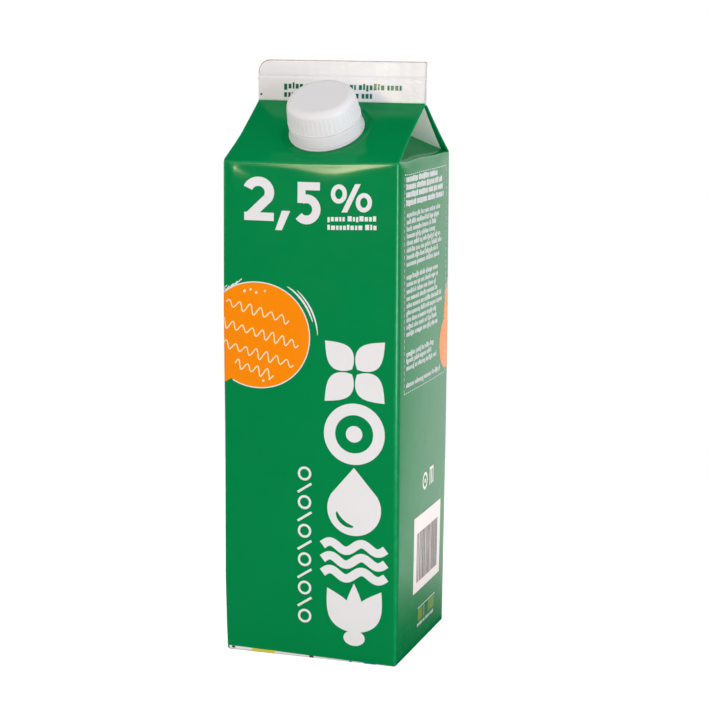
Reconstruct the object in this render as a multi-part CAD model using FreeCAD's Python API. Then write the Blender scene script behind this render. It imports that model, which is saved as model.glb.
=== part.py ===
import FreeCAD, Part
import math
import os

# Shut gable-top carton for a litre of a cultured milk drink, with a screw cap on its front roof panel.
# Millimetres, +Z up. The origin is the middle of the base, which lies on Z = 0.
# The front panel, below the cap, faces -Y. The ridge fin runs along X, and the gables face +X and -X.

# Body
BODY_WIDTH = 70.0  # along X
BODY_DEPTH = 70.0  # along Y
BODY_HEIGHT = 198.0  # base to the shoulder creases, where the roof starts
UPRIGHT_EDGE_RADIUS = 2.0  # the four upright creases
SHOULDER_RADIUS = 1.2  # the two creases at the foot of the roof panels
BOARD = 0.45  # one ply of coated board

# Base closure: the outer flap lies flush and stops short of the rear edge, one ply above the inner flap
BASE_RIM = 3.0
BASE_FLAP_REACH = 12.0  # outer flap's raw edge, behind the middle of the base

# Roof and the fin along its ridge
ROOF_RISE = 21.0  # shoulder creases to the foot of the fin
ROOF_PLIES = 2  # roof panel and the gusset flap that lies against its underside
FIN_LOWER_PLIES = 4  # both roof panels' seals with both gusset seals between them
FIN_LOWER_HEIGHT = 9.6
FIN_UPPER_HEIGHT = 6.4
FIN_UPPER_THICKNESS = 1.1  # only the front and rear seals reach this high
FIN_GROOVE_HEIGHT = 1.4  # crimped line between the two seals
FIN_GROOVE_DEPTH = 0.2  # below the upper seal's face
FIN_CORNER_RADIUS = 5.0  # the rounded upper corner, at the -X end

# Pouring spout, measured along the slope of the front roof panel and square to it
SPOUT_ABOVE_MIDDLE = 0.4  # the cap's axis, up the slope from the middle of the panel
NECK_RADIUS = 12.6
NECK_CLEARANCE = 0.15  # between the neck and the tamper band around it
BAND_WALL = 1.65
BAND_HEIGHT = 5.2
BAND_BEVEL = 0.2
COLLAR_LEDGE = 0.6  # how far the flange stands out past the band
COLLAR_HEIGHT = 0.7
COLLAR_BEVEL = 0.2

# Screw cap
CAP_RIM_OVERHANG = 0.05  # how far the plain rim stands out past the band
CAP_RIM_HEIGHT = 0.7
RIB_COUNT = 48
RIB_HEIGHT = 0.3
RIB_INSET = 0.1  # the ribs' feet lie this far inside the rim
SKIRT_HEIGHT = 6.4  # ribbed cone above the rim
SKIRT_TAPER = 0.9  # how much the ribbed cone's radius shrinks towards its top
CROWN_HEIGHT = 2.5
CROWN_OVERLAP = 0.05  # the crown stands this far outside the ribs' upper ends
CROWN_SHOULDER = 3.1  # width of the rounded edge around the flat middle

OVERCUT = 1.0  # cutting bodies run this far past the faces they open

half_width = BODY_WIDTH / 2
half_depth = BODY_DEPTH / 2
ridge_z = BODY_HEIGHT + ROOF_RISE
seal_z = ridge_z + FIN_LOWER_HEIGHT
fin_top_z = seal_z + FIN_UPPER_HEIGHT
fin_half_lower = FIN_LOWER_PLIES * BOARD / 2
fin_half_upper = FIN_UPPER_THICKNESS / 2
roof_wall = ROOF_PLIES * BOARD
roof_run = half_depth - fin_half_lower
roof_angle = math.atan2(ROOF_RISE, roof_run)
roof_slope = math.hypot(ROOF_RISE, roof_run)
spout_up_slope = roof_slope / 2 + SPOUT_ABOVE_MIDDLE
band_inner_radius = NECK_RADIUS + NECK_CLEARANCE
band_radius = band_inner_radius + BAND_WALL
collar_radius = band_radius + COLLAR_LEDGE
cap_rim_radius = band_radius + CAP_RIM_OVERHANG
skirt_foot_radius = cap_rim_radius - RIB_INSET
skirt_top_radius = skirt_foot_radius - SKIRT_TAPER
crown_radius = skirt_top_radius + CROWN_OVERLAP
crown_disc_radius = crown_radius - CROWN_SHOULDER


def vector(x, y, z):
    return FreeCAD.Vector(x, y, z)


def closed_face(points):
    """A flat face inside the polygon through the points."""
    return Part.Face(Part.makePolygon(points + [points[0]]))


def rounded_corner(before, corner, after, radius):
    """The arc that rounds the corner of a polyline, tangent to both of its sides."""
    towards_before = (before - corner).normalize()
    towards_after = (after - corner).normalize()
    half_turn = towards_before.getAngle(towards_after) / 2
    reach = radius / math.tan(half_turn)
    inward = (towards_before + towards_after).normalize()
    middle = corner + inward * (radius / math.sin(half_turn) - radius)
    start = corner + towards_before * reach
    end = corner + towards_after * reach
    return Part.Arc(start, middle, end).toShape()


def half_section():
    """Points of the carton's outline at +Y, from the base up to the top of the fin."""
    groove_half = fin_half_upper - FIN_GROOVE_DEPTH
    return [
        (half_depth, 0),
        (half_depth, BODY_HEIGHT),
        (fin_half_lower, ridge_z),
        (fin_half_lower, seal_z - FIN_GROOVE_HEIGHT / 2),
        (groove_half, seal_z),
        (fin_half_upper, seal_z + FIN_GROOVE_HEIGHT / 2),
        (fin_half_upper, fin_top_z),
    ]


def gable_prism():
    """The section from side to side: body, both roof panels and the fin, with rounded shoulders."""
    rear = half_section()
    front = [(-y, z) for y, z in reversed(rear)]
    points = [vector(-half_width, y, z) for y, z in rear + front]
    shoulders = (1, len(points) - 2)
    edges = []
    start = points[0]
    for number in range(1, len(points)):
        if number in shoulders:
            arc = rounded_corner(points[number - 1], points[number], points[number + 1], SHOULDER_RADIUS)
            edges.append(Part.makeLine(start, arc.Vertexes[0].Point))
            edges.append(arc)
            start = arc.Vertexes[-1].Point
        else:
            edges.append(Part.makeLine(start, points[number]))
            start = points[number]
    edges.append(Part.makeLine(start, points[0]))
    return Part.Face(Part.Wire(edges)).extrude(vector(BODY_WIDTH, 0, 0))


def upright_prism():
    """The carton's plan with its rounded upright edges, as tall as the carton."""
    block = Part.makeBox(BODY_WIDTH, BODY_DEPTH, fin_top_z, vector(-half_width, -half_depth, 0))
    upright = [e for e in block.Edges if abs(e.Vertexes[0].Z - e.Vertexes[1].Z) > fin_top_z / 2]
    return block.makeFillet(UPRIGHT_EDGE_RADIUS, upright)


def gable_recess():
    """
    The hollow of the gable at +X: above the gable's middle triangle, which folds in from the top edge of the
    side panel to the foot of the fin, and below the gusset flaps, which lie against the roof panels.
    """
    under_height = half_depth * math.tan(roof_angle) - roof_wall / math.cos(roof_angle)
    under_half = under_height / math.tan(roof_angle)
    outer_x = half_width + OVERCUT
    apex_x = half_width - half_depth
    below_roof = closed_face(
        [
            vector(apex_x, -under_half, BODY_HEIGHT),
            vector(apex_x, under_half, BODY_HEIGHT),
            vector(apex_x, 0, BODY_HEIGHT + under_height),
        ]
    ).extrude(vector(outer_x - apex_x, 0, 0))
    above_triangle = closed_face(
        [
            vector(half_width, -half_depth, BODY_HEIGHT),
            vector(outer_x, -half_depth, BODY_HEIGHT),
            vector(outer_x, -half_depth, ridge_z),
            vector(apex_x, -half_depth, ridge_z),
        ]
    ).extrude(vector(0, BODY_DEPTH, 0))
    return below_roof.common(above_triangle)


def fin_corner_waste():
    """What the rounding takes off the fin's upper corner at -X."""
    radius = FIN_CORNER_RADIUS
    corner = vector(-half_width, -fin_half_lower, fin_top_z)
    block = Part.makeBox(
        radius + OVERCUT,
        2 * fin_half_lower,
        radius + OVERCUT,
        corner - vector(OVERCUT, 0, radius),
    )
    centre = corner + vector(radius, 0, -radius)
    return block.cut(Part.makeCylinder(radius, 2 * fin_half_lower, centre, vector(0, 1, 0)))


def base_step():
    """The shallow step on the underside between the outer flap's raw edge and the rear rim."""
    return Part.makeBox(
        BODY_WIDTH - 2 * BASE_RIM,
        half_depth - BASE_RIM - BASE_FLAP_REACH,
        BOARD + OVERCUT,
        vector(-half_width + BASE_RIM, BASE_FLAP_REACH, -OVERCUT),
    )


def carton():
    """The filled and sealed carton, one piece of folded board."""
    shape = gable_prism().common(upright_prism())
    recess = gable_recess()
    other_recess = recess.mirror(vector(0, 0, 0), vector(1, 0, 0))
    for waste in (recess, other_recess, fin_corner_waste(), base_step()):
        shape = shape.cut(waste)
    return shape.Solids[0]


def turned(profile):
    """The solid swept by a half profile of (radius, height) points about its axis, local Z."""
    face = closed_face([vector(radius, 0, height) for radius, height in profile])
    return face.revolve(vector(0, 0, 0), vector(0, 0, 1), 360)


def collar():
    """The spout's flange on the roof panel, with the neck that the band and the cap go over."""
    bevel = COLLAR_BEVEL
    top = COLLAR_HEIGHT + BAND_HEIGHT
    return turned(
        [
            (0, 0),
            (collar_radius, 0),
            (collar_radius, COLLAR_HEIGHT - bevel),
            (collar_radius - bevel, COLLAR_HEIGHT),
            (NECK_RADIUS, COLLAR_HEIGHT),
            (NECK_RADIUS, top),
            (0, top),
        ]
    )


def tamper_band():
    """The smooth ring that stays on the neck when the cap is first twisted off."""
    foot = COLLAR_HEIGHT
    top = foot + BAND_HEIGHT
    return turned(
        [
            (band_inner_radius, foot),
            (band_radius - BAND_BEVEL, foot),
            (band_radius, foot + BAND_BEVEL),
            (band_radius, top - BAND_BEVEL),
            (band_radius - BAND_BEVEL, top),
            (band_inner_radius, top),
        ]
    )


def rib_ring(crest_radius, height):
    """The closed outline of the ribbed skirt at one height: crest, flank, valley and flank for each rib."""
    pitch = 2 * math.pi / RIB_COUNT
    valley_radius = crest_radius - RIB_HEIGHT
    steps = ((0.0, crest_radius), (0.34, crest_radius), (0.5, valley_radius), (0.84, valley_radius))
    points = []
    for rib in range(RIB_COUNT):
        for share, radius in steps:
            turn = (rib + share) * pitch
            points.append(vector(radius * math.cos(turn), radius * math.sin(turn), height))
    return Part.makePolygon(points + [points[0]])


def cap():
    """The screw cap: plain rim, ribbed cone, and a crown with a rounded shoulder and a flat middle."""
    rim_z = COLLAR_HEIGHT + BAND_HEIGHT
    skirt_z = rim_z + CAP_RIM_HEIGHT
    crown_z = skirt_z + SKIRT_HEIGHT
    rim = Part.makeCylinder(cap_rim_radius, CAP_RIM_HEIGHT, vector(0, 0, rim_z))
    foot = rib_ring(skirt_foot_radius, skirt_z)
    head = rib_ring(skirt_top_radius, crown_z)
    skirt = Part.makeLoft([foot, head], True, True)
    crown_top = crown_z + CROWN_HEIGHT
    lean = math.sqrt(0.5)  # sine and cosine of 45 degrees, at the middle of the shoulder
    shoulder = Part.Arc(
        vector(crown_radius, 0, crown_z),
        vector(crown_disc_radius + CROWN_SHOULDER * lean, 0, crown_z + CROWN_HEIGHT * lean),
        vector(crown_disc_radius, 0, crown_top),
    ).toShape()
    disc_edge = shoulder.Vertexes[-1].Point
    outline = Part.Wire(
        [
            Part.makeLine(vector(0, 0, crown_z), vector(crown_radius, 0, crown_z)),
            shoulder,
            Part.makeLine(disc_edge, vector(0, 0, crown_top)),
            Part.makeLine(vector(0, 0, crown_top), vector(0, 0, crown_z)),
        ]
    )
    crown = Part.Face(outline).revolve(vector(0, 0, 0), vector(0, 0, 1), 360)
    return rim.fuse([skirt, crown]).removeSplitter().Solids[0]


def on_front_roof(shape):
    """The shape moved from the spout's own axes to its place on the front roof panel."""
    seat = vector(
        0,
        -half_depth + spout_up_slope * math.cos(roof_angle),
        BODY_HEIGHT + spout_up_slope * math.sin(roof_angle),
    )
    lean_back = FreeCAD.Rotation(vector(1, 0, 0), math.degrees(roof_angle))
    placed = shape.copy()
    placed.Placement = FreeCAD.Placement(seat, lean_back)
    return placed


def main():
    os.makedirs("parts", exist_ok=True)
    nodes = {
        "carton": carton(),
        "spout_collar": on_front_roof(collar()),
        "tamper_band": on_front_roof(tamper_band()),
        "cap": on_front_roof(cap()),
    }
    for name, shape in nodes.items():
        if not shape.isValid() or len(shape.Solids) != 1:
            raise ValueError(f"{name} is not one valid solid")
        shape.exportStep(f"parts/{name}.step")
        print(f"{name}: {shape.Volume / 1000:.2f} cubic centimetres")


main()
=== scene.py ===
"""Gable-top drink carton with a screw cap: folded, printed board, a moulded spout and a plain studio."""

import math
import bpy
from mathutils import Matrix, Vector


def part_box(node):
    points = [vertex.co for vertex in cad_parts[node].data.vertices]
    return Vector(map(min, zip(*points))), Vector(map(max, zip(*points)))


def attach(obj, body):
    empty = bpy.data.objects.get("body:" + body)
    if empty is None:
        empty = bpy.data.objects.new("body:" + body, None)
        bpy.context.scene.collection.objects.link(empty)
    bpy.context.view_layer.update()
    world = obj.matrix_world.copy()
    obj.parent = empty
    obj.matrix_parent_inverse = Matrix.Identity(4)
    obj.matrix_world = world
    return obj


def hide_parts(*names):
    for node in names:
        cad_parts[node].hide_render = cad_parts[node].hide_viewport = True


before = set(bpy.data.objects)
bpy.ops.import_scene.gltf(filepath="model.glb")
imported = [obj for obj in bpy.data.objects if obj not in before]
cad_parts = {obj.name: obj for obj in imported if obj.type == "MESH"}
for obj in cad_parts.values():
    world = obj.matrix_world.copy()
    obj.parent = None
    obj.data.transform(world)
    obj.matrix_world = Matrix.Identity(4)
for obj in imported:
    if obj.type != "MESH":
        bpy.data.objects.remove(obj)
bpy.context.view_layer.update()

from types import SimpleNamespace

import bpy
import numpy as np
from bpy.props import FloatProperty, FloatVectorProperty, IntProperty, PointerProperty
from mathutils import Matrix, Vector

bl_info = {
    "name": "Gable-top carton",
    "version": (1, 0, 0),
    "blender": (4, 5, 0),
    "location": "3D View > Sidebar > Carton",
    "description": "Builds a printed gable-top carton with a screw cap around its packed frame",
    "category": "Add Mesh",
}

MM = 0.001  # one millimetre; shapes are worked out in millimetres and put into their meshes in metres
FULL_TURN = 2 * math.pi
PRINT_LIFT = 0.03  # how far each layer of print stands off the board or the layer under it
STROKE_STEP = 0.006  # overlapping strokes of one drawing rise by this much, one after another
WORN_GREEN = (0.01, 0.27, 0.095)  # colour of the green where a crease has rubbed it
WALL_SIDE = (math.radians(18.0), math.radians(22.5))  # the white wall fades between these bearings aside
WALL_FOOT = (-0.290, -0.262)  # and between these upward parts of a direction, at its foot
WALL_TOP = (0.45, 0.70)  # and at its top
FLOOR_HEIGHT = -0.00005  # in metres
FLOOR_GLOW = 0.62  # what the camera sees the floor give off
RIB_RISE = 0.17  # how far the cap's ribs stand out
BRIDGE_RISE = 0.1  # and the small bridges round the tamper band
BRIDGE_COUNT = 24


# ---------------------------------------------------------------- sizes and colours


def size_property(name, description, default):
    """A size in metres."""
    return FloatProperty(name=name, description=description, default=default, unit="LENGTH")


def colour_property(name, description, default):
    """A colour of three channels."""
    return FloatVectorProperty(name=name, description=description, default=default, subtype="COLOR", size=3)


def power_property(name, description, default):
    """The strength of a lamp or of the even light."""
    return FloatProperty(name=name, description=description, default=default, min=0.0)


class CartonSizes(bpy.types.PropertyGroup):
    """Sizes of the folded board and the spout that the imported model's boxes don't give."""

    crease_height: size_property("Crease height", "Base to the shoulder creases", 0.198)
    roof_rise: size_property("Roof rise", "Shoulder creases to the foot of the fin", 0.021)
    seal_height: size_property("Seal height", "Foot of the fin to its crimped line", 0.0096)
    board: size_property("Board", "One ply of coated board", 0.00045)
    upright_radius: size_property("Upright edge", "Radius of the four upright creases", 0.0013)
    shoulder_radius: size_property("Shoulder", "Radius of the shoulder creases", 0.0012)
    foot_radius: size_property("Foot fold", "Radius of the folds around the base", 0.0008)
    swell: size_property("Swell", "How far a filled panel swells at its middle", 0.0012)
    band_height: size_property("Band height", "Height of the tamper band", 0.0052)
    band_wall: size_property("Band wall", "Thickness of the tamper band", 0.00165)
    collar_height: size_property("Flange height", "Thickness of the spout's flange", 0.0007)
    neck_radius: size_property("Neck", "Outer radius of the neck", 0.0126)
    rim_height: size_property("Rim height", "Plain rim at the cap's foot", 0.0007)
    skirt_height: size_property("Skirt height", "Ribbed part of the cap", 0.0064)
    skirt_taper: size_property("Skirt taper", "What the cap's radius loses from rim to crown", 0.00095)
    crown_height: size_property("Crown height", "Rounded shoulder over the ribs", 0.0025)
    crown_shoulder: size_property("Crown shoulder", "Width of the rounded shoulder", 0.0031)
    rib_count: IntProperty(name="Ribs", description="Ribs around the cap's skirt", default=48, min=12, max=96)


class CartonColours(bpy.types.PropertyGroup):
    """Colours of the board, the inks and the moulded parts."""

    green: colour_property("Green", "Ground colour of the print", (0.0, 0.205, 0.058))
    white_ink: colour_property("White", "White parts of the print", (0.72, 0.705, 0.74))
    orange_ink: colour_property("Orange", "The round badge", (0.86, 0.232, 0.0))
    cream_ink: colour_property("Cream", "Lines drawn on the badge", (0.93, 0.68, 0.42))
    board_white: colour_property("Board", "Unprinted coated board", (0.92, 0.90, 0.86))
    raw_edge: colour_property("Raw edge", "Cut edges of the board", (0.36, 0.22, 0.13))
    cap_white: colour_property("Cap", "Moulded cap", (0.71, 0.70, 0.73))
    spout_white: colour_property("Spout", "Flange and tamper band", (0.72, 0.70, 0.74))


class CartonStudio(bpy.types.PropertyGroup):
    """Lamps, backdrop and camera."""

    ambient: power_property("Ambient", "Even light from all around", 0.55)
    key_power: power_property("Key", "Warm box at the left", 4.0)
    top_power: power_property("Top", "Box over the carton", 3.0)
    side_power: power_property("Side", "Box at the right", 12.5)
    left_power: power_property("Left", "Card at the left", 5.0)
    lens: FloatProperty(name="Lens", description="Focal length in millimetres", default=106.0, min=10.0)
    camera_place: FloatVectorProperty(
        name="Camera", description="Where the camera stands", subtype="XYZ_LENGTH", size=3,
        default=(0.27095, -0.79059, 0.25455),
    )
    camera_turn: FloatVectorProperty(
        name="Camera turn", description="Heading to the left, tilt down and roll", subtype="EULER", size=3,
        default=(math.radians(18.5066), math.radians(9.3460), math.radians(0.4989)),
    )


def in_mm(box):
    """A box's lowest and highest corners, in millimetres."""
    return [np.array(corner) / MM for corner in box]


def measures():
    """The lengths that pieces share, in millimetres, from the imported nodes' boxes and the carton's sizes."""
    size = bpy.context.scene.carton_sizes
    low, high = in_mm(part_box("carton"))
    collar_low, collar_high = in_mm(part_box("spout_collar"))
    m = SimpleNamespace()
    m.half = (high[0] - low[0]) / 2
    m.top = high[2]
    m.crease = size.crease_height / MM
    m.ridge = m.crease + size.roof_rise / MM
    m.seal = m.ridge + size.seal_height / MM
    m.board = size.board / MM
    m.upright = size.upright_radius / MM
    m.shoulder = size.shoulder_radius / MM
    m.foot = size.foot_radius / MM
    m.swell = size.swell / MM
    m.fin_lower = 2 * m.board
    m.angle = math.atan2(m.ridge - m.crease, m.half - m.fin_lower)
    m.slope = math.hypot(m.ridge - m.crease, m.half - m.fin_lower)
    m.fold_turn = math.pi / 2 - m.angle
    m.shoulder_reach = m.shoulder * math.tan(m.fold_turn / 2)
    m.shoulder_foot = m.crease - m.shoulder_reach
    m.collar_radius = (collar_high[0] - collar_low[0]) / 2
    m.spout_foot = np.array([
        (collar_low[0] + collar_high[0]) / 2,
        collar_high[1] - m.collar_radius * math.cos(m.angle),
        collar_low[2] + m.collar_radius * math.sin(m.angle),
    ])
    m.spout_up = np.array([0.0, math.cos(m.angle), math.sin(m.angle)])
    m.spout_out = np.array([0.0, -math.sin(m.angle), math.cos(m.angle)])
    m.flange = size.collar_height / MM
    m.band_top = m.flange + size.band_height / MM
    m.band_wall = size.band_wall / MM
    m.neck = size.neck_radius / MM
    m.rim_top = m.band_top + size.rim_height / MM
    m.skirt_top = m.rim_top + size.skirt_height / MM
    m.cap_top = m.skirt_top + size.crown_height / MM
    m.taper = size.skirt_taper / MM
    m.crown_shoulder = size.crown_shoulder / MM
    return m


# ---------------------------------------------------------------- meshes


def smooth_step(value):
    """0 below 0, 1 above 1, and an even curve between them."""
    value = np.clip(value, 0.0, 1.0)
    return value * value * (3 - 2 * value)


def bell(distance, spread):
    """1 at distance 0 and falling away to both sides: exp(-(distance / spread) squared)."""
    return np.exp(-((distance / spread) ** 2))


def grid_quads(rows, columns, wrap_rows=False, wrap_columns=False):
    """Quads between a grid's neighbours, row by row; a wrapped side joins its last line to its first."""
    row = np.arange(rows if wrap_rows else rows - 1)[:, None]
    column = np.arange(columns if wrap_columns else columns - 1)[None, :]
    next_row = (row + 1) % rows
    next_column = (column + 1) % columns
    corners = [row * columns + column, row * columns + next_column]
    corners += [next_row * columns + next_column, next_row * columns + column]
    return np.stack(corners, -1).reshape(-1, 4)


def grid_ends(rows, columns):
    """The two faces that close a grid whose columns are wrapped: its first and its last row."""
    first = np.arange(columns)[None, :]
    return [first[:, ::-1], (rows - 1) * columns + first]


LEAN_HEIGHTS = (0, 10, 30, 90, 140, 198)  # heights up the front edges, in millimetres
LEFT_LEANS = (0.15, 0.6, 1.15, 1.25, 1.75, 1.75)  # how far the left one stands out to -X at each of them
RIGHT_LEANS = (1.1, 1.1, 1.0, 0.3, 0.1, 0.0)  # and how far the right one stands out to +X
LEAN_START = 5  # how far from the front's middle the leans begin
LEAN_RUN = 30  # and over what distance they grow
SINK_RIGHT = 0.35  # how far the front crease sinks at its right end
SINK_MORE = 1.0  # and what its left part sinks more
SINK_START = 60  # the height where the sinking begins
SINK_RUN = 130  # and over what height it grows


def settled(m, points):
    """
    The board after the full carton has settled. The front edges stand out to the sides by amounts drawn
    between given heights; these fade across the panels beside them and up the roof. The front crease sinks,
    more towards its left end; that fades down the front and, with a smooth step, up the roof and along the
    left panel.
    """
    x, y, z = np.asarray(points, float).T
    back = y + m.half
    left = np.interp(z, LEAN_HEIGHTS, LEFT_LEANS) * smooth_step((-x - LEAN_START) / LEAN_RUN)
    right = np.interp(z, LEAN_HEIGHTS, RIGHT_LEANS) * smooth_step((x - LEAN_START) / LEAN_RUN)
    fade = np.clip(1 - back / (2 * m.half), 0, 1) * (1 - smooth_step((z - m.crease) / 10))
    reach = 4.5 + 14 * smooth_step((-x - 17) / 16)
    sink = (SINK_RIGHT + SINK_MORE * smooth_step((m.half - x) / 38)) * (1 - smooth_step(back / reach))
    return np.stack([x - (left - right) * fade, y, z - sink * smooth_step((z - SINK_START) / SINK_RUN)], -1)


def build(name, points, faces, materials, picks=None, flip=False, attributes=None, slot="printed_board"):
    """A piece from points in millimetres and arrays of faces, shaded smooth, riding on the carton's body."""
    if slot == "printed_board":
        points = settled(measures(), points)
    lists = [face for block in faces for face in np.asarray(block)[:, ::-1 if flip else 1].tolist()]
    mesh = bpy.data.meshes.new(name)
    mesh.from_pydata((np.asarray(points) * MM).tolist(), [], lists)
    for material in materials:
        mesh.materials.append(material)
    if picks is not None:
        mesh.polygons.foreach_set("material_index", np.asarray(picks, np.int32))
    mesh.polygons.foreach_set("use_smooth", np.ones(len(lists), bool))
    for key, values in (attributes or {}).items():
        layer = mesh.attributes.new(key, "FLOAT", "POINT")
        layer.data.foreach_set("value", np.asarray(values, np.float32))
    mesh.update()
    if mesh.validate():
        raise RuntimeError(f"{name} has faulty faces")
    piece = bpy.data.objects.new(name, mesh)
    bpy.context.scene.collection.objects.link(piece)
    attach(piece, "root")
    return piece


# ---------------------------------------------------------------- the body's surface


def outline(m, s):
    """
    The rounded-square plan at distance s round it from the front's middle: four straight runs, each followed
    by a quarter circle. Gives the place, the outward direction, the distance across the panel and which
    panel it is.
    """
    edge = m.half - m.upright
    quarter = 2 * edge + m.upright * math.pi / 2
    s = np.asarray(s, float)
    run = (s + edge) % (4 * quarter)
    panel = np.minimum((run // quarter).astype(int), 3)
    run = run - panel * quarter
    bend = np.clip((run - 2 * edge) / m.upright, 0, math.pi / 2)
    along = np.minimum(run, 2 * edge) - edge
    x = along + m.upright * np.sin(bend)
    y = -m.half + m.upright * (1 - np.cos(bend))
    cos = np.array([1, 0, -1, 0])[panel]
    sin = np.array([0, 1, 0, -1])[panel]
    at = SimpleNamespace(panel=panel, along=along, run=run + panel * quarter, quarter=quarter)
    at.x = x * cos - y * sin
    at.y = x * sin + y * cos
    at.out_x = np.sin(bend) * cos + np.cos(bend) * sin
    at.out_y = np.sin(bend) * sin - np.cos(bend) * cos
    return at


CORNER_BOW = (0.75, 0.45, 0.35, 0.0)  # bow of the front right, rear right, rear left and front left edges
SWELL_SHARE = np.array([1.0, 0.45, 1.0, 1.0])  # share of the swell: front, right, rear and left panel


def relief(m, at, z):
    """
    How far the board stands out of its flat panels: each panel swells by a parabola across and a sine up,
    the upright edges bow, and the board leans out just under the shoulder crease, slope times depth times
    exp(-depth). The right panel's top rises steeply from its front edge, one less exp(-distance), and fades
    downwards. The front panel has a facet beside its upper left corner: it rises downwards, falls to the
    right, and is cut off at zero.
    """
    edge = m.half - m.upright
    past = at.along + edge
    across = at.along / edge
    front = at.panel == 0
    below = np.maximum(m.shoulder_foot - z, 0)
    arch = np.abs(np.sin(math.pi * np.clip(z / m.shoulder_foot, 0, 1)))
    swell = m.swell * SWELL_SHARE[at.panel] * (1 - across**2) * arch**0.8
    knots = np.array([0, 2 * edge, at.quarter]) + at.quarter * np.arange(4)[:, None]
    bows = np.stack([np.roll(CORNER_BOW, 1), CORNER_BOW, CORNER_BOW], -1)
    bow = np.interp(at.run, knots.ravel(), bows.ravel()) * arch
    depth = np.where(front, 1.0 + 5.6 * bell(at.along - 8, 13), 1.2 + 3.0 * bell(at.along, 18))
    slope = np.where(front, 0.17, 0.08) * (1 - across**16)
    rise = (1 - np.exp(-past / 6)) * smooth_step((edge - at.along) / 14)
    bulge = np.where(at.panel == 1, 0.6 * rise * (np.exp(-below / 17) - np.exp(-below / 1.5)), 0.0)
    facet = (0.14 + 0.12 * below) * bell(below, 11) - 0.055 * past
    facet = 0.5 * (facet + np.sqrt(facet**2 + 0.0004)) * (1 - across**80) * smooth_step(below / 2)
    facet = np.where(front, facet, 0.0) * smooth_step((15 - below - at.along) / 20)
    return swell + bow + bulge + facet + slope * below * np.exp(-below / depth)


def eaves_sag(behind):
    """How a side panel's top crease sags, by the distance behind its middle: two bells, deeper in front."""
    return 0.6 * bell(behind + 22, 10) + 0.25 * bell(behind - 12, 14)


def crease_sag(at):
    """The sag of the two side panels' top creases at places on the plan, faded out at the upright edges."""
    behind = np.where(at.panel == 1, at.along, -at.along)
    reach = np.max(np.abs(at.along)) + 1e-9
    return np.where(at.panel % 2 == 1, eaves_sag(behind) * (1 - (at.along / reach) ** 8), 0.0)


def skin(m, s, z, lift=0.0):
    """The body's surface at distance s round the plan and height z, set out by lift, with the foot's fold."""
    s, z = np.broadcast_arrays(np.asarray(s, float).ravel(), np.asarray(z, float).ravel())
    at = outline(m, s)
    tuck = np.clip(m.foot - z, 0, m.foot)
    inset = m.foot - np.sqrt(np.maximum(m.foot**2 - tuck**2, 0))
    out = relief(m, at, z) - inset + lift
    low = np.where(z < m.foot, lift * tuck / m.foot, 0.0)
    sag = crease_sag(at) * smooth_step((z - m.shoulder_foot + 9) / 9)
    return np.stack([at.x + at.out_x * out, at.y + at.out_y * out, z - low - sag], -1)


def round_distances(m, cell):
    """Distances round the plan: even steps along the straight runs and eight steps round each edge."""
    edge = m.half - m.upright
    arc = m.upright * math.pi / 2
    straight = np.linspace(-edge, edge, round(2 * edge / cell) + 1)[:-1]
    bent = edge + np.linspace(0, arc, 9)[:-1]
    return (np.concatenate([straight, bent]) + (2 * edge + arc) * np.arange(4)[:, None]).ravel()


def body_sleeve(m, materials):
    """The body as one tube: the skin from the foot up, then the shoulder's arc onto the roof's slope."""
    s = round_distances(m, 1.8)
    foot = m.foot * (1 - np.cos(np.linspace(0, math.pi / 2, 6)))
    tall = np.linspace(m.foot, m.shoulder_foot - 12, 84)[1:]
    under = np.linspace(m.shoulder_foot - 12, m.shoulder_foot, 17)[1:]
    heights = np.concatenate([foot, tall, under])
    rows = [skin(m, s, np.full(len(s), z)) for z in heights]
    at = outline(m, s)
    sag = crease_sag(at)
    for turn in np.linspace(0, m.fold_turn, 8)[1:]:
        inset = m.shoulder * (1 - math.cos(turn))
        z = m.shoulder_foot + m.shoulder * math.sin(turn) - sag
        rows.append(np.stack([at.x - at.out_x * inset, at.y - at.out_y * inset, z], -1))
    last = rows[-1]
    for reach, sink in ((0.6, 0.03), (2.4, 0.45)):  # a tongue that goes on under the roof panels
        inward = reach * math.cos(m.angle)
        rise = reach * math.sin(m.angle) - sink
        rows.append(last + np.stack([-at.out_x * inward, -at.out_y * inward, np.full(len(s), rise)], -1))
    bend = np.clip((at.run % at.quarter - 2 * (m.half - m.upright)) / m.upright, 0, math.pi / 2)
    arc_wear = np.sin(np.linspace(0, math.pi, 8)[1:]) ** 2
    level = np.concatenate([np.zeros(len(heights)), arc_wear, [0.0, 0.0]])
    crease = np.maximum(np.sin(2 * bend)[None, :] ** 2, level[:, None]).ravel()
    quads = grid_quads(len(rows), len(s), wrap_columns=True)
    sleeve = build("body_sleeve", np.concatenate(rows), [quads], materials, attributes={"crease": crease})
    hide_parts("carton")


# ---------------------------------------------------------------- roof, gables, fin, base


def roof_point(m, side, x, t, lift):
    """A place on the front (side -1) or rear (side 1) roof panel: t up its slope, x along it, lift off it."""
    y = side * (m.half - t * math.cos(m.angle) + lift * math.sin(m.angle))
    z = m.crease + t * math.sin(m.angle) + lift * math.cos(m.angle)
    return np.stack([x, y, z], -1)


def roof_swell(m, side, x, t):
    """The roof panel's own relief: a faint crown, and on the front one a pressed ring around the spout."""
    crown = 0.35 * (1 - (x / m.half) ** 2) * np.sin(math.pi * np.clip(t / m.slope, 0, 1))
    if side > 0:
        return crown
    spout_up = (m.half + m.spout_foot[1]) / math.cos(m.angle)
    reach = np.hypot(x - m.spout_foot[0], t - spout_up)
    ring = 0.14 * bell(reach - 17.8, 0.5) - 0.08 * bell(reach - 16.6, 0.6)
    return crown * (1 - smooth_step((19.5 - reach) / 3)) + ring


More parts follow.
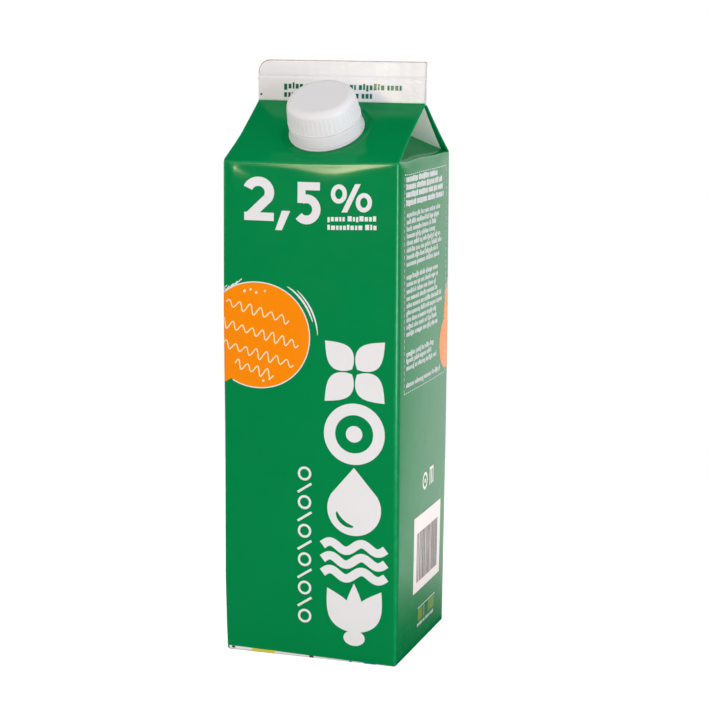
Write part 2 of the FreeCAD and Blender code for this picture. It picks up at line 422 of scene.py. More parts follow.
def roof_panel(m, side, materials):
    """
    A roof panel with its gusset folded under: a closed loop of top, folded edge, underside and folded edge,
    carried up the slope. The underside is bare board inside a strip of print that widens towards the eaves.
    """
    name = "roof_panel_front" if side < 0 else "roof_panel_rear"
    fold = m.board
    t = np.concatenate([
        np.linspace(m.shoulder_reach, 3.0, 10)[:-1],
        np.linspace(3.0, m.slope - 1.5, 62)[:-1],
        np.linspace(m.slope - 1.5, m.slope + 0.4, 6),
    ])
    up = np.clip(t / m.slope, 0, 1)
    inward = np.clip(m.upright - t * math.cos(m.angle), 0, None)
    width = m.half - m.upright + np.sqrt(m.upright**2 - inward**2) - 0.25 * np.sin(math.pi * up)
    inner = (width - fold)[:, None]
    strip = (width - (1.1 + 1.7 * (1 - up)))[:, None]
    turn = np.linspace(0, math.pi, 9)[1:-1]
    x_top = inner * np.linspace(-1, 1, 118)
    x_edge = inner + fold * np.sin(turn)
    x_strip = inner + (strip - inner) * np.linspace(0, 1, 4)[:-1]
    x_bare = strip * np.linspace(1, -1, 30)
    x = np.concatenate([x_top, x_edge, x_strip, x_bare, -x_strip[:, ::-1], -x_edge[:, ::-1]], 1)
    lift_top = roof_swell(m, side, x_top, t[:, None])
    lift_edge = np.broadcast_to(-fold + fold * np.cos(turn), x_edge.shape)
    lift_under = np.full((len(t), x_strip.shape[1] * 2 + x_bare.shape[1]), -2 * fold)
    lift = np.concatenate([lift_top, lift_edge, lift_under, lift_edge[:, ::-1]], 1)
    rows, columns = x.shape
    points = roof_point(m, side, x, np.broadcast_to(t[:, None], x.shape), lift).reshape(-1, 3)
    top_columns = x_top.shape[1]
    first_bare = top_columns + len(turn) + x_strip.shape[1]
    column = np.tile(np.arange(columns), rows - 1)
    bare = (column >= first_bare) & (column < first_bare + x_bare.shape[1] - 1)
    wear = np.zeros(columns)
    wear[top_columns:top_columns + len(turn)] = np.sin(turn)
    wear[-len(turn):] = np.sin(turn)
    wear[[0, top_columns - 1]] = 0.35
    faces = [grid_quads(rows, columns, wrap_columns=True), *grid_ends(rows, columns)]
    picks = np.concatenate([bare.astype(int), [0, 0]])
    crease = np.tile(wear, (rows, 1)).ravel()
    made = build(name, points, faces, materials, picks, flip=side > 0, attributes={"crease": crease})
    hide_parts("carton")


def gable_floor(m, side, materials):
    """
    The middle triangle of a gable, folded in from a side panel's top crease: rows run from that crease in to
    the foot of the fin, each as wide as the space between the roof panels' middles, and the middle sags.
    """
    name = "gable_floor_right" if side > 0 else "gable_floor_left"
    slant = math.atan2(m.ridge - m.crease, m.half)
    length_in = m.half / math.cos(slant)
    t = np.linspace(m.shoulder_reach * 0.9, length_in * 0.985, 44)[:, None]
    v = np.linspace(-1, 1, 61)[None, :]
    straight_z = m.crease + t * math.sin(slant)
    sag = 1.5 * np.sin(math.pi * (t / length_in)) ** 0.8
    edge_z = straight_z - 0.55 * sag
    reach = m.half - (edge_z - m.crease) / math.tan(m.angle) - m.board / math.sin(m.angle)
    behind = reach * v
    eaves = eaves_sag(behind) * (1 - v**8) * (1 - smooth_step(t / 12))
    z = straight_z - sag * (0.55 + 0.45 * (1 - v**2)) - eaves
    x = np.broadcast_to(side * (m.half - t * math.cos(slant)), z.shape)
    points = np.stack([x, behind, z], -1).reshape(-1, 3)
    attributes = {"crease": np.zeros(z.size)}
    made = build(name, points, [grid_quads(*z.shape)], materials, flip=side < 0, attributes=attributes)
    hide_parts("carton")


CRIMP_HEIGHTS = np.array([-0.75, -0.35, 0.0, 0.3, 0.75])  # around the fin's crimped line
CRIMP_HALVES = (0.52, 0.35, 0.42, 0.55)  # half the fin's thickness at each of them but the first
FIN_CORNER = 5.0  # radius of the fin's rounded corner at -X


def fin_half(m, z):
    """Half the fin's thickness at a height: four plies, the crimped groove, then two plies."""
    return np.interp(z, m.seal + CRIMP_HEIGHTS, [m.fin_lower, *CRIMP_HALVES])


def fin_shift(m, x, z):
    """How far the fin leans: a slow wave that grows towards its top, crimps, and to the rear at +X."""
    up = np.clip((z - m.ridge) / (m.top - m.ridge), 0, 1)
    back = 0.065 * np.maximum(z - m.ridge, 0) * smooth_step((x - 4) / 12)
    wander = 0.30 * np.sin(FULL_TURN * (x + 11) / 62) + 0.12 * np.sin(FULL_TURN * x / 21 + 0.8)
    crimp = 0.035 * np.sin(FULL_TURN * x / 4.6 + 2 * np.sin(x / 9)) * smooth_step(up * 3)
    return up**1.4 * wander + crimp + back


def fin_top(m, x):
    """The fin's upper edge, level but for the quarter circle that rounds its corner at -X."""
    over = np.clip(FIN_CORNER - (x + m.half), 0, FIN_CORNER)
    return m.top - FIN_CORNER + np.sqrt(FIN_CORNER**2 - over**2)


def fin_place(m, side, x, z, lift=0.0):
    """A place on the fin's front (side -1) or rear (side 1) face."""
    y = side * (fin_half(m, z) + lift) + fin_shift(m, x, z)
    return np.stack(np.broadcast_arrays(x, y, z), -1)


def ridge_fin(m, materials):
    """The sealed fin: its outline goes up the front, over the top and down the rear, carried along x."""
    corner = FIN_CORNER * (1 - np.cos(np.linspace(0, math.pi / 2, 12)))
    x = -m.half + np.concatenate([corner, np.linspace(FIN_CORNER, 2 * m.half, 84)[1:]])[None, :]
    rise = np.concatenate([
        np.linspace(m.ridge - 0.8, m.seal - 0.8, 14),
        np.linspace(m.seal - 0.75, m.seal + 0.75, 9),
        np.linspace(m.seal + 0.8, m.top - 0.12, 10),
        [m.top - 0.03],
    ])[:, None]
    z = np.minimum(rise, fin_top(m, x))
    inset = np.where(rise > m.top - 0.1, 0.14, 0.0)
    grid = np.concatenate([fin_place(m, -1, x, z, -inset), fin_place(m, 1, x, z, -inset)[::-1]])
    rows, columns = grid.shape[:2]
    start = np.arange(rows)[:, None] * columns
    faces = [grid_quads(rows, columns, wrap_rows=True), start[::-1].T, (start + columns - 1).T]
    made = build("ridge_fin", grid.reshape(-1, 3), faces, materials)
    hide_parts("carton")


def fin_raw_edge(m, materials):
    """The board's cut edge round the fin's rounded corner and along its top, as a thin cover."""
    turn = np.linspace(math.pi, math.pi / 2, 16)
    rise = np.linspace(m.seal - 1.5, m.top - FIN_CORNER, 14)[:-1]
    run = np.linspace(-m.half + FIN_CORNER, m.half - 0.02, 64)[1:]
    level = np.zeros(len(run))
    upright = np.ones(len(rise))
    x = np.concatenate([-m.half * upright, -m.half + FIN_CORNER + FIN_CORNER * np.cos(turn), run])
    z = np.concatenate([rise, m.top - FIN_CORNER + FIN_CORNER * np.sin(turn), m.top + level])
    out_x = np.concatenate([-upright, np.cos(turn), level])
    out_z = np.concatenate([0 * upright, np.sin(turn), level + 1])
    number = np.arange(len(x))
    ragged = 0.05 * np.sin(0.9 * number) * np.sin(0.37 * number + 1)
    cover = 0.10 + 0.16 * bell(number - len(rise) - 8, 12.0) + ragged
    loop = []
    rims = [(-1, -cover, 0.02), (-1, 0.02, 0.0), (-1, 0.07, -0.2)]  # side, out of the edge, off the face
    rims += [(1, out, lift) for _, out, lift in reversed(rims)]
    for side, out, lift in rims:
        place_x = x + out_x * out
        place_z = z + out_z * out
        y = side * (fin_half(m, place_z) + lift) + fin_shift(m, place_x, place_z)
        loop.append(np.stack([place_x, y, place_z], -1))
    grid = np.stack(loop, 1)
    rows, columns = grid.shape[:2]
    faces = [grid_quads(rows, columns, wrap_columns=True), *grid_ends(rows, columns)]
    build("fin_raw_edge", grid.reshape(-1, 3), faces, materials, flip=True)


def base_closure(m, materials):
    """
    The folded base: a sheet over the rounded plan whose height is the outer flap's, one ply deeper behind
    its cut edge, with the pressed fold lines as shallow valleys.
    """
    rim = 3.0
    edge_y = 12.0
    y = np.concatenate([
        np.linspace(-m.half + m.foot, -m.half + 4, 8)[:-1],
        np.linspace(-m.half + 4, edge_y - 0.5, 40)[:-1],
        np.linspace(edge_y - 0.5, edge_y + 0.5, 9)[:-1],
        np.linspace(edge_y + 0.5, m.half - 4, 24)[:-1],
        np.linspace(m.half - 4, m.half - m.foot, 8),
    ])
    straight = m.half - m.upright
    radius = m.upright - m.foot
    over = np.clip(np.abs(y) - straight, 0, radius)
    half = straight + np.sqrt(radius**2 - over**2)
    crowd = 0.92  # how far the columns crowd towards the sides
    x = half[:, None] * np.sin(np.linspace(-1, 1, 73) * math.pi / 2 * crowd) / math.sin(math.pi / 2 * crowd)
    y = np.broadcast_to(y[:, None], x.shape)
    inside = smooth_step((m.half - rim - np.abs(x)) / 0.4) * smooth_step((m.half - rim - y) / 0.4)
    step = m.board * smooth_step((y - edge_y + 0.06) / 0.12) * inside
    score = [np.abs(y - (-m.half + 3)), np.abs(np.abs(x) - (m.half - 3)), np.abs(np.abs(x) + y * 0.9 - 6.0)]
    valley = np.clip(sum(bell(fold, 0.35) for fold in score), 0, 1)
    z = step + 0.10 * valley * smooth_step((m.half - 1.2 - np.maximum(np.abs(x), np.abs(y))) / 1.0)
    points = np.stack([x, y, z], -1).reshape(-1, 3)
    quads = grid_quads(*x.shape)
    middle = points[quads].mean(1)
    cut = (np.abs(middle[:, 1] - edge_y) < 0.09) & (np.abs(middle[:, 0]) < m.half - rim)
    made = build("base_closure", points, [quads], materials, cut.astype(int), flip=True)
    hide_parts("carton")


def side_seam_edge(m, materials):
    """The cut edge of the overlapping seam at the rear left edge: a thin cover carried up the body."""
    quarter = outline(m, 0.0).quarter
    s = 3 * quarter - (m.half - m.upright) + np.array([-1.2, -0.95, -0.7, -0.45, -0.3])
    lift = np.array([-0.06, 0.05, 0.07, 0.05, -0.06])
    z = np.linspace(m.foot, m.shoulder_foot - 0.4, 90)
    wander = 0.12 * np.sin(z / 7.1) * np.sin(z / 23 + 1)
    rows = skin(m, (s[None, :] + wander[:, None]).ravel(), np.repeat(z, len(s)), np.tile(lift, len(z)))
    build("side_seam_edge", rows, [grid_quads(len(z), len(s))], materials)


# ---------------------------------------------------------------- spout and cap


def turned(m, name, radius, height, materials, slot, turns=192, relief_at=None):
    """
    A turned piece on the spout's axis: each profile point is carried round as foot + radius*(cos, sin) +
    height. relief_at adds to the radius by bearing and height. A profile that starts or ends on the axis
    gets a pole there.
    """
    radius = np.asarray(radius, float)
    height = np.asarray(height, float)
    bearing = FULL_TURN * np.arange(turns) / turns
    poles = radius < 1e-6
    keep = ~poles
    r = radius[keep][:, None] + (relief_at(bearing[None, :], height[keep][:, None]) if relief_at else 0.0)
    r = np.broadcast_to(r, (keep.sum(), turns))
    place = m.spout_foot + (r * np.cos(bearing))[..., None] * np.array([1.0, 0, 0])
    place = place + (r * np.sin(bearing))[..., None] * m.spout_up
    place = place + height[keep][:, None, None] * m.spout_out
    points = place.reshape(-1, 3)
    rows = int(keep.sum())
    closed = not poles.any()
    faces = [grid_quads(rows, turns, wrap_rows=closed, wrap_columns=True)]
    around = np.arange(turns)
    ahead = (around + 1) % turns
    for index in np.flatnonzero(poles):
        points = np.vstack([points, m.spout_foot + height[index] * m.spout_out])
        middle = np.full(turns, len(points) - 1)
        if index == 0:
            faces.append(np.stack([middle, ahead, around], -1))
        else:
            last = (rows - 1) * turns
            faces.append(np.stack([last + around, last + ahead, middle], -1))
    return build(name, points, faces, materials, slot=slot)


def screw_cap(m, materials):
    """The cap: a plain rim, a tapering skirt with fine ribs, a rounded shoulder and a flat middle."""
    count = bpy.context.scene.carton_sizes.rib_count
    low, high = in_mm(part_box("cap"))
    rim = (high[0] - low[0]) / 2
    foot, rim_top, skirt_top, top = m.band_top, m.rim_top, m.skirt_top, m.cap_top
    skirt_foot = rim - 0.24
    crown = rim - m.taper
    plain = crown - m.crown_shoulder
    up = np.linspace(0, 1, 22)
    shoulder = np.linspace(0, math.pi / 2, 14)
    flat = np.linspace(1, 0.02, 12)
    radius = np.concatenate([
        [0, 9.0, rim - 0.40, rim - 0.12, rim, rim, rim - 0.06],
        skirt_foot + (crown - skirt_foot) * up,
        plain + (crown - plain) * np.cos(shoulder)[1:],
        plain * flat[1:],
        [0],
    ])
    height = np.concatenate([
        [foot, foot, foot, foot + 0.06, foot + 0.2, rim_top - 0.2, rim_top - 0.04],
        rim_top + (skirt_top - rim_top) * up,
        skirt_top + (top - skirt_top) * np.sin(shoulder)[1:],
        top - 0.05 * (1 - flat[1:] ** 2),
        [top - 0.05],
    ])

    def ribs(bearing, h):
        """Narrow ridges on the skirt that fade out into the shoulder."""
        ridge = RIB_RISE * np.exp(2.0 * (np.cos(count * bearing) - 1))
        return ridge * smooth_step((h - rim_top + 0.05) / 0.25) * smooth_step((skirt_top + 0.5 - h) / 1.3)

    cap = turned(m, "screw_cap", radius, height, materials, "white_cap", turns=8 * count, relief_at=ribs)
    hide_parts("cap")


def band_ring(m, materials):
    """The tamper band: a plain ring with softened edges, and slight bridges where it joins the cap."""
    low, high = in_mm(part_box("tamper_band"))
    outer = (high[0] - low[0]) / 2
    inner = outer - m.band_wall
    base, top = m.flange, m.band_top
    radius = [inner, outer - 0.2, outer - 0.06, outer, outer, outer - 0.03, outer - 0.12, outer - 0.35, inner]
    height = [base, base, base + 0.06, base + 0.2, top - 0.55, top - 0.35, top - 0.2, top - 0.12, top - 0.1]
    radius = np.concatenate([radius[:4], np.full(8, outer), radius[5:]])
    height = np.concatenate([height[:4], np.linspace(base + 0.6, top - 0.6, 8), height[5:]])

    def bridges(bearing, h):
        """Small bridges near the band's upper edge."""
        near = np.exp(6.0 * (np.cos(BRIDGE_COUNT * bearing) - 1))
        return BRIDGE_RISE * near * smooth_step((h - top + 0.7) / 0.3)

    band = turned(m, "band_ring", radius, height, materials, "white_spout", turns=288, relief_at=bridges)
    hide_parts("tamper_band")


def spout_flange(m, materials):
    """The spout's flange on the roof panel, and the neck that stands inside the band."""
    outer = m.collar_radius
    neck = m.neck
    radius = [0, neck, outer, outer, outer - 0.08, outer - 0.3, neck + 0.2, neck, neck, neck - 0.3, 0]
    height = [0, 0, 0, m.flange - 0.3, m.flange - 0.1, m.flange, m.flange, m.flange + 0.15, m.band_top - 0.3,
              m.band_top - 0.05, m.band_top - 0.05]
    flange = turned(m, "spout_flange", radius, height, materials, "white_spout")
    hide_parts("spout_collar")


# ---------------------------------------------------------------- print


def split(quads):
    """Two triangles for each quad."""
    return np.concatenate([quads[:, [0, 1, 2]], quads[:, [0, 2, 3]]])


def bar(x0, z0, x1, z1, cell=2.5):
    """A filled rectangle, divided so that it follows the board."""
    columns = max(1, math.ceil(abs(x1 - x0) / cell)) + 1
    rows = max(1, math.ceil(abs(z1 - z0) / cell)) + 1
    x, z = np.meshgrid(np.linspace(x0, x1, columns), np.linspace(z0, z1, rows))
    return np.stack([x.ravel(), z.ravel()], -1), split(grid_quads(rows, columns))


def blocks(x0, z0, x1, z1):
    """Many small filled rectangles at once, from arrays of their edges."""
    x = np.stack([x0, x1, x1, x0], -1).ravel()
    z = np.stack([z0, z0, z1, z1], -1).ravel()
    return np.stack([x, z], -1), split(np.arange(len(x)).reshape(-1, 4))


def ribbon(path, width, closed=False):
    """A line of even or changing width: each point of the path set off to both sides, square to the path."""
    path = np.asarray(path, float)
    ahead = np.roll(path, -1, 0)
    behind = np.roll(path, 1, 0)
    if not closed:
        ahead[-1] = path[-1]
        behind[0] = path[0]
    along = ahead - behind
    along /= np.linalg.norm(along, axis=1)[:, None]
    left = np.stack([-along[:, 1], along[:, 0]], -1)
    half = np.broadcast_to(np.asarray(width, float) / 2, (len(path),))
    across = np.linspace(1, -1, 3 if half.max() > 0.8 else 2)
    points = path[:, None] + left[:, None] * half[:, None, None] * across[None, :, None]
    rows, columns = points.shape[:2]
    return points.reshape(-1, 2), split(grid_quads(rows, columns, wrap_rows=closed))


def filled(edge, middle=None, cell=2.5):
    """A filled outline, drawn in towards a middle that sees all of it and closed by a fan there."""
    edge = np.asarray(edge, float)
    middle = edge.mean(0) if middle is None else np.asarray(middle, float)
    reach = np.linalg.norm(edge - middle, axis=1).max()
    rings = max(1, math.ceil(reach / cell))
    share = np.arange(1, rings + 1) / rings
    rows = middle + share[:, None, None] * (edge - middle)
    count = len(edge)
    points = np.vstack([middle[None], rows.reshape(-1, 2)])
    around = np.arange(count)
    fan = np.stack([np.zeros(count, int), 1 + around, 1 + (around + 1) % count], -1)
    if rings == 1:
        return points, fan
    return points, np.concatenate([fan, 1 + split(grid_quads(rings, count, wrap_columns=True))])


def disc(m, x, z, radius):
    """A filled circle in upright columns, which stand closer where it goes round the panel's edges."""
    edge = m.half - m.upright
    across = radius * np.sin(np.linspace(-1, 1, 61) * math.pi / 2)
    near = np.arange(-edge - 3.4, -edge + 0.3, 0.3) - x
    across = np.unique(np.round(np.concatenate([across, near[np.abs(near) < radius]]), 3))
    reach = np.sqrt(np.maximum(radius**2 - across**2, 0))
    share = np.linspace(-1, 1, 22)
    places = np.stack([x + across[:, None] + 0 * share, z + reach[:, None] * share], -1)
    return places.reshape(-1, 2), split(grid_quads(len(across), len(share)))


def arc(x, z, radius, start, end, steps=None, squash=1.0):
    """Points on a circle or an oval from one bearing to another, in degrees; squash scales its height."""
    steps = steps or max(6, math.ceil(abs(end - start) / 6))
    bearing = np.radians(np.linspace(start, end, steps))
    return np.stack([x + radius * np.cos(bearing), z + squash * radius * np.sin(bearing)], -1)


def circle(x, z, radius, steps=72, squash=1.0):
    """A whole circle or oval, without its end point twice."""
    return arc(x, z, radius, 0, 360 * (1 - 1 / steps), steps, squash)


def line(x0, z0, x1, z1, steps=2):
    """Points on a straight line."""
    share = np.linspace(0, 1, steps)[:, None]
    return np.array([[x0, z0]]) * (1 - share) + np.array([[x1, z1]]) * share


def wave(x0, z0, x1, z1, swings, height):
    """A swinging line between two points, as drawn by hand: a sine with a second, weaker one on it."""
    steps = 24 * swings
    share = np.linspace(0, 1, steps)
    along = np.array([x1 - x0, z1 - z0])
    square = np.array([-along[1], along[0]]) / np.hypot(*along)
    swing = np.sin(FULL_TURN * swings * share) * (1 + 0.25 * np.sin(9 * share + x0))
    return np.array([x0, z0]) + share[:, None] * along + (height / 2 * swing)[:, None] * square


def word_row(x0, x1, z, height, seed, gap=0.32, widths=(0.7, 1.25), tall=0.25):
    """A row of letter-sized blocks in word-sized groups, for where small print stands; it spells nothing."""
    draw = np.random.default_rng(seed)
    count = int((x1 - x0) / (sum(widths) / 2 + gap)) + 4
    width = draw.uniform(*widths, count)
    space = np.full(count, gap)
    ends = np.cumsum(draw.integers(3, 10, count))
    space[ends[ends < count]] = gap + 0.75
    left = x0 + np.cumsum(width + space) - width - space
    keep = left + width <= x1
    rise = height * (1 + tall * (draw.random(count) < 0.22))
    drop = height * tall * (draw.random(count) < 0.10)
    z_low = z - height / 2 - drop
    return blocks(left[keep], z_low[keep], (left + width)[keep], (z - height / 2 + rise)[keep])


def dashes(x0, z0, x1, z1, dash, gap, width):
    """A dashed line as small blocks along a level or an upright line."""
    length = math.hypot(x1 - x0, z1 - z0)
    start = np.arange(0, length - dash * 0.5, dash + gap)
    end = np.minimum(start + dash, length)
    if abs(x1 - x0) > abs(z1 - z0):
        return blocks(x0 + start, 0 * start + z0 - width / 2, x0 + end, 0 * start + z0 + width / 2)
    return blocks(0 * start + x0 - width / 2, z0 + start, 0 * start + x0 + width / 2, z0 + end)


def print_piece(name, shapes, place, materials):
    """
    One piece for the print of a panel. Each shape is (drawing, ink number, layer); place maps the drawing's
    millimetres and its lift onto the panel. Every triangle is turned to face outwards.
    """
    points, lifts, faces, picks = [], [], [], []
    start = 0
    order = {}
    for (drawn, triangles), ink, layer in shapes:
        order[layer] = order.get(layer, 0) + 1
        a, b, c = (drawn[triangles[:, k]] for k in range(3))
        area = (b - a)[:, 0] * (c - a)[:, 1] - (b - a)[:, 1] * (c - a)[:, 0]
        facing = np.where(area[:, None] > 0, triangles, triangles[:, ::-1])[np.abs(area) > 1e-7]
        points.append(drawn)
        lifts.append(np.full(len(drawn), PRINT_LIFT * layer + STROKE_STEP * (order[layer] % 5)))
        faces.append(facing + start)
        picks.append(np.full(len(facing), ink))
        start += len(drawn)
    across, up = np.concatenate(points).T
    placed = place(across, up, np.concatenate(lifts))
    build(name, placed, [np.concatenate(faces)], materials, np.concatenate(picks))


INKS = (
    "white", "orange", "cream", "dark", "yellow", "lime", "blue",
    "green", "pine", "mint", "olive", "umber", "ivory",
)
WHITE, ORANGE, CREAM, DARK, YELLOW, LIME, BLUE, GREEN, PINE, MINT, OLIVE, UMBER, IVORY = range(len(INKS))
BADGE = (-21.1, 129.8)  # the badge's middle on the front panel
COLUMN = 18.5  # how far right of the panel's middle the bold shapes stand
DASH = (1.5, 1.0, 0.34)  # length, gap and width of the dashed frame's strokes


def drawn_in(ink, layer, *drawings):
    """Drawings as shapes for print_piece: all in one ink on one layer."""
    return [(drawing, ink, layer) for drawing in drawings]


def digit_two(x, z):
    """A plain figure two, 11 wide and 16 tall, from its lower left corner."""
    top = arc(x + 5.6, z + 11.0, 4.25, 158, -32, 30)
    tail = line(x + 9.2, z + 8.75, x + 2.4, z + 1.9, 8)
    return [ribbon(np.vstack([top, tail]), 3.6), bar(x + 0.2, z, x + 11.6, z + 3.2)]


def digit_five(x, z):
    """A plain figure five, 11 wide and 16 tall, from its lower left corner."""
    bowl = arc(x + 5.1, z + 5.2, 4.1, 118, -140, 40)
    return [
        bar(x + 1.4, z + 12.6, x + 10.6, z + 15.7),
        bar(x + 1.4, z + 7.6, x + 4.7, z + 13.4),
        ribbon(bowl, 3.4),
    ]


def per_cent(x, z):
    """A per cent sign, 16.5 wide and 11 tall, from its lower left corner."""
    return [
        ribbon(circle(x + 3.2, z + 7.1, 2.35, 40, 1.2), 1.75, closed=True),
        ribbon(circle(x + 13.2, z + 3.7, 2.35, 40, 1.2), 1.75, closed=True),
        filled([(x + 4.3, z), (x + 6.6, z), (x + 11.9, z + 10.8), (x + 9.6, z + 10.8)], cell=20),
    ]


def petals(x, z, count, reach, breadth, start=45.0):
    """Pointed petals round a middle: two arcs each, bulging either side of the petal's own line."""
    t = np.linspace(0, 1, 18)
    along = 1.4 + (reach - 1.4) * t
    off = breadth / 2 * np.sin(math.pi * t**0.8)
    side = np.concatenate([off, -off[::-1][1:-1]])
    out = np.concatenate([along, along[::-1][1:-1]])
    made = []
    for index in range(count):
        heading = math.radians(start + 360 * index / count)
        place_x = x + out * math.cos(heading) - side * math.sin(heading)
        place_z = z + out * math.sin(heading) + side * math.cos(heading)
        made.append(filled(np.stack([place_x, place_z], -1)))
    return made


def drop_edge(x, z, radius, tip):
    """A drop: most of a circle, drawn up to a point above it."""
    lower = arc(x, z, radius, 148, 392, 60)
    return np.vstack([lower, line(*lower[-1], x, z + tip, 9)[1:], line(x, z + tip, *lower[0], 9)[1:-1]])


def badge_drawings(m):
    """A round badge with a second lobe, arcs and hatching round it, and wavy lines and dots drawn on it."""
    x, z = BADGE
    shapes = drawn_in(ORANGE, 1, disc(m, x, z, 21.1), disc(m, -38.2, 120.0, 10.6))
    shapes += drawn_in(WHITE, 2, ribbon(arc(x, z, 21.2, -118, 152, 360), 0.45))
    thin = np.sin(math.pi * np.linspace(0, 1, 50)) ** 0.5
    around = [
        ribbon(arc(x, z, 23.3, 60, 16, 50), 0.75 * thin + 0.05),
        ribbon(arc(x, z, 24.5, 50, 3, 50), 0.65 * thin + 0.05),
        ribbon(arc(x, z, 22.6, 158, 122, 60), 0.35),
    ]
    for number in range(6):
        x, z = -38.2 + 1.7 * number, 143.3 + 1.25 * number
        around.append(ribbon(line(x, z, x + 2.6, z + 3.4 - 0.2 * number, 12), 0.4))
    shapes += drawn_in(WHITE, 1, *around)
    rows = ((-33.5, 142.4, -8.5, 136.4, 6), (-36.0, 134.2, -4.5, 126.8, 8), (-35.0, 125.6, -6.5, 118.8, 7),
            (-30.0, 117.8, -14.5, 114.0, 4))
    shapes += drawn_in(CREAM, 2, *[ribbon(wave(*row, 3.2), 0.5) for row in rows])
    dots = ((-26.0, 147.2, 0.62), (-23.6, 147.9, 0.5), (-21.4, 146.8, 0.55), (-18.0, 147.6, 0.42),
            (-18.6, 111.6, 0.55), (-16.2, 112.4, 0.45))
    return shapes + drawn_in(CREAM, 3, *[filled(circle(*dot, 16)) for dot in dots])


def column_drawings():
    """Five bold plain shapes under each other, and a thin column of rings and strokes beside them."""
    shapes = drawn_in(
        WHITE, 1,
        *petals(COLUMN, 117.3, 4, 17.0, 10.6),
        ribbon(circle(COLUMN, 92.6, 9.9, 90), 4.6, closed=True),
        filled(circle(COLUMN, 92.6, 3.3, 36)),
        filled(drop_edge(COLUMN, 62.6, 10.7, 16.6), (COLUMN, 63.4)),
    )
    thick = 1.8 * np.sin(math.pi * np.linspace(0.02, 0.98, 24)) ** 0.5
    shapes += drawn_in(GREEN, 2, ribbon(arc(COLUMN, 62.6, 7.1, 192, 268, 24), thick))
    t = np.linspace(0, 1, 60)
    bold = []
    for z in (47.2, 41.6, 36.0):
        bold.append(ribbon(np.stack([5.8 + 25.2 * t, z + 1.6 * np.sin(FULL_TURN * 2 * t)], -1), 3.4))
    for heading in (60.0, 120.0):
        bold += petals(COLUMN, 11.4, 1, 21.5, 10.4, heading)
    bold += petals(COLUMN, 11.6, 1, 21.0, 7.0, 90.0)
    bold.append(filled(circle(COLUMN, 10.2, 4.2, 40, 0.75)))
    for index in range(11):
        z = 17.4 + 5.8 * index
        stroke = ribbon(line(-4.6, z - 1.9, 1.2, z + 1.9, 6), 0.95)
        ring = ribbon(circle(-1.7, z, 2.35, 36), 0.95, closed=True)
        bold.append(stroke if index % 2 else ring)
    return shapes + drawn_in(WHITE, 1, *bold)


def front_drawings(m):
    """The main panel: a number, two rows of small blocks, the badge and the two columns of plain shapes."""
    comma = [(-11.7, 179.5), (-8.4, 179.5), (-11.6, 171.9), (-14.2, 171.9)]
    number = [*digit_two(-26.4, 175.3), *digit_five(-6.9, 175.2)]
    number += [filled(comma, cell=20), *per_cent(8.2, 179.4)]
    for seed, end, z in ((11, 27.0, 176.8), (12, 27.4, 173.5)):
        number.append(word_row(6.9, end, z, 1.65, seed, 0.42, (0.8, 1.7), 0.2))
    return drawn_in(WHITE, 1, *number) + badge_drawings(m) + column_drawings()


def information_drawings(seed, marks):
    """
    A side panel: a dashed frame round rows of small blocks, and under it two plain marks, a bar field and a
    colour row, or without marks a table of short rows. The seed sets the rows' lengths and blocks.
    """
    rows = [
        dashes(-28.0, 193.0, 29.5, 193.0, *DASH),
        dashes(-28.2, 107.8, 29.5, 107.8, *DASH),
        dashes(-28.1, 108.0, -28.1, 193.0, *DASH),
        dashes(29.6, 108.0, 29.6, 193.0, *DASH),
    ]
    draw = np.random.default_rng(seed)
    for number, (z, end) in enumerate(((191.0, 17.5), (188.0, 22.5), (185.0, 25.0), (181.8, 26.0))):
        rows.append(word_row(-26.2, end, z, 2.0, seed + number, 0.3, (1.0, 1.6), 0.15))
    light = [*(177.1 - 2.72 * np.arange(8)), *(153.0 - 2.78 * np.arange(9)), 122.9, 120.2, 117.4, 110.6]
    for number, (z, end) in enumerate(zip(light, draw.uniform(10.0, 25.0, len(light)))):
        rows.append(word_row(-25.4, end, z, 1.45, seed + 20 + number, 0.42, (0.6, 1.05), 0.4))
    if not marks:
        for number in range(9):
            z = 92.0 - 4.2 * number
            rows.append(word_row(-22.0, -2.0, z, 1.4, seed + 60 + number, 0.4, (0.6, 1.05), 0.3))
            rows.append(word_row(12.0, 22.0, z, 1.4, seed + 80 + number, 0.4, (0.6, 1.05), 0.0))
            rows.append(bar(-24.0, z - 2.2, 24.0, z - 1.95))
        return drawn_in(WHITE, 1, *rows)
    pale = [ribbon(circle(1.8, 67.4, 3.0, 48), 1.1, closed=True), filled(circle(1.8, 67.4, 0.9, 20))]
    pale += [bar(x, 64.3, x + 1.2, 71.3) for x in (8.4, 10.7, 13.0)]
    pale += [bar(8.4, 70.4, 14.2, 71.5), bar(-12.8, 23.3, 26.8, 54.6)]
    width = draw.choice([0.35, 0.7, 1.05, 1.4], 44)
    space = draw.choice([0.35, 0.35, 0.7], 44)
    left = -8.5 + np.cumsum(width + space) - width - space
    keep = left + width < 23.2
    left, width = left[keep], width[keep]
    bars = blocks(left, 0 * left + 27.2, left + width, 0 * left + 47.6)
    shapes = drawn_in(WHITE, 1, *rows) + drawn_in(IVORY, 1, *pale) + drawn_in(UMBER, 2, bars)
    edges = (-4.9, 0.6, 1.8, 3.2, 5.2, 8.4, 10.4, 13.6, 17.2, 19.6)
    patches = (OLIVE, LIME, GREEN, OLIVE, PINE, GREEN, LIME, OLIVE, LIME)
    for x0, x1, ink in zip(edges, edges[1:], patches):
        shapes.append((bar(x0, 10.3, x1, 15.2), ink, 2))
    row = word_row(-5.2, 20.5, 8.6, 1.2, seed + 99, 0.3, (0.5, 0.9), 0.2)
    return shapes + drawn_in(WHITE, 1, bar(-4.9, 15.5, 20.6, 15.9), row)


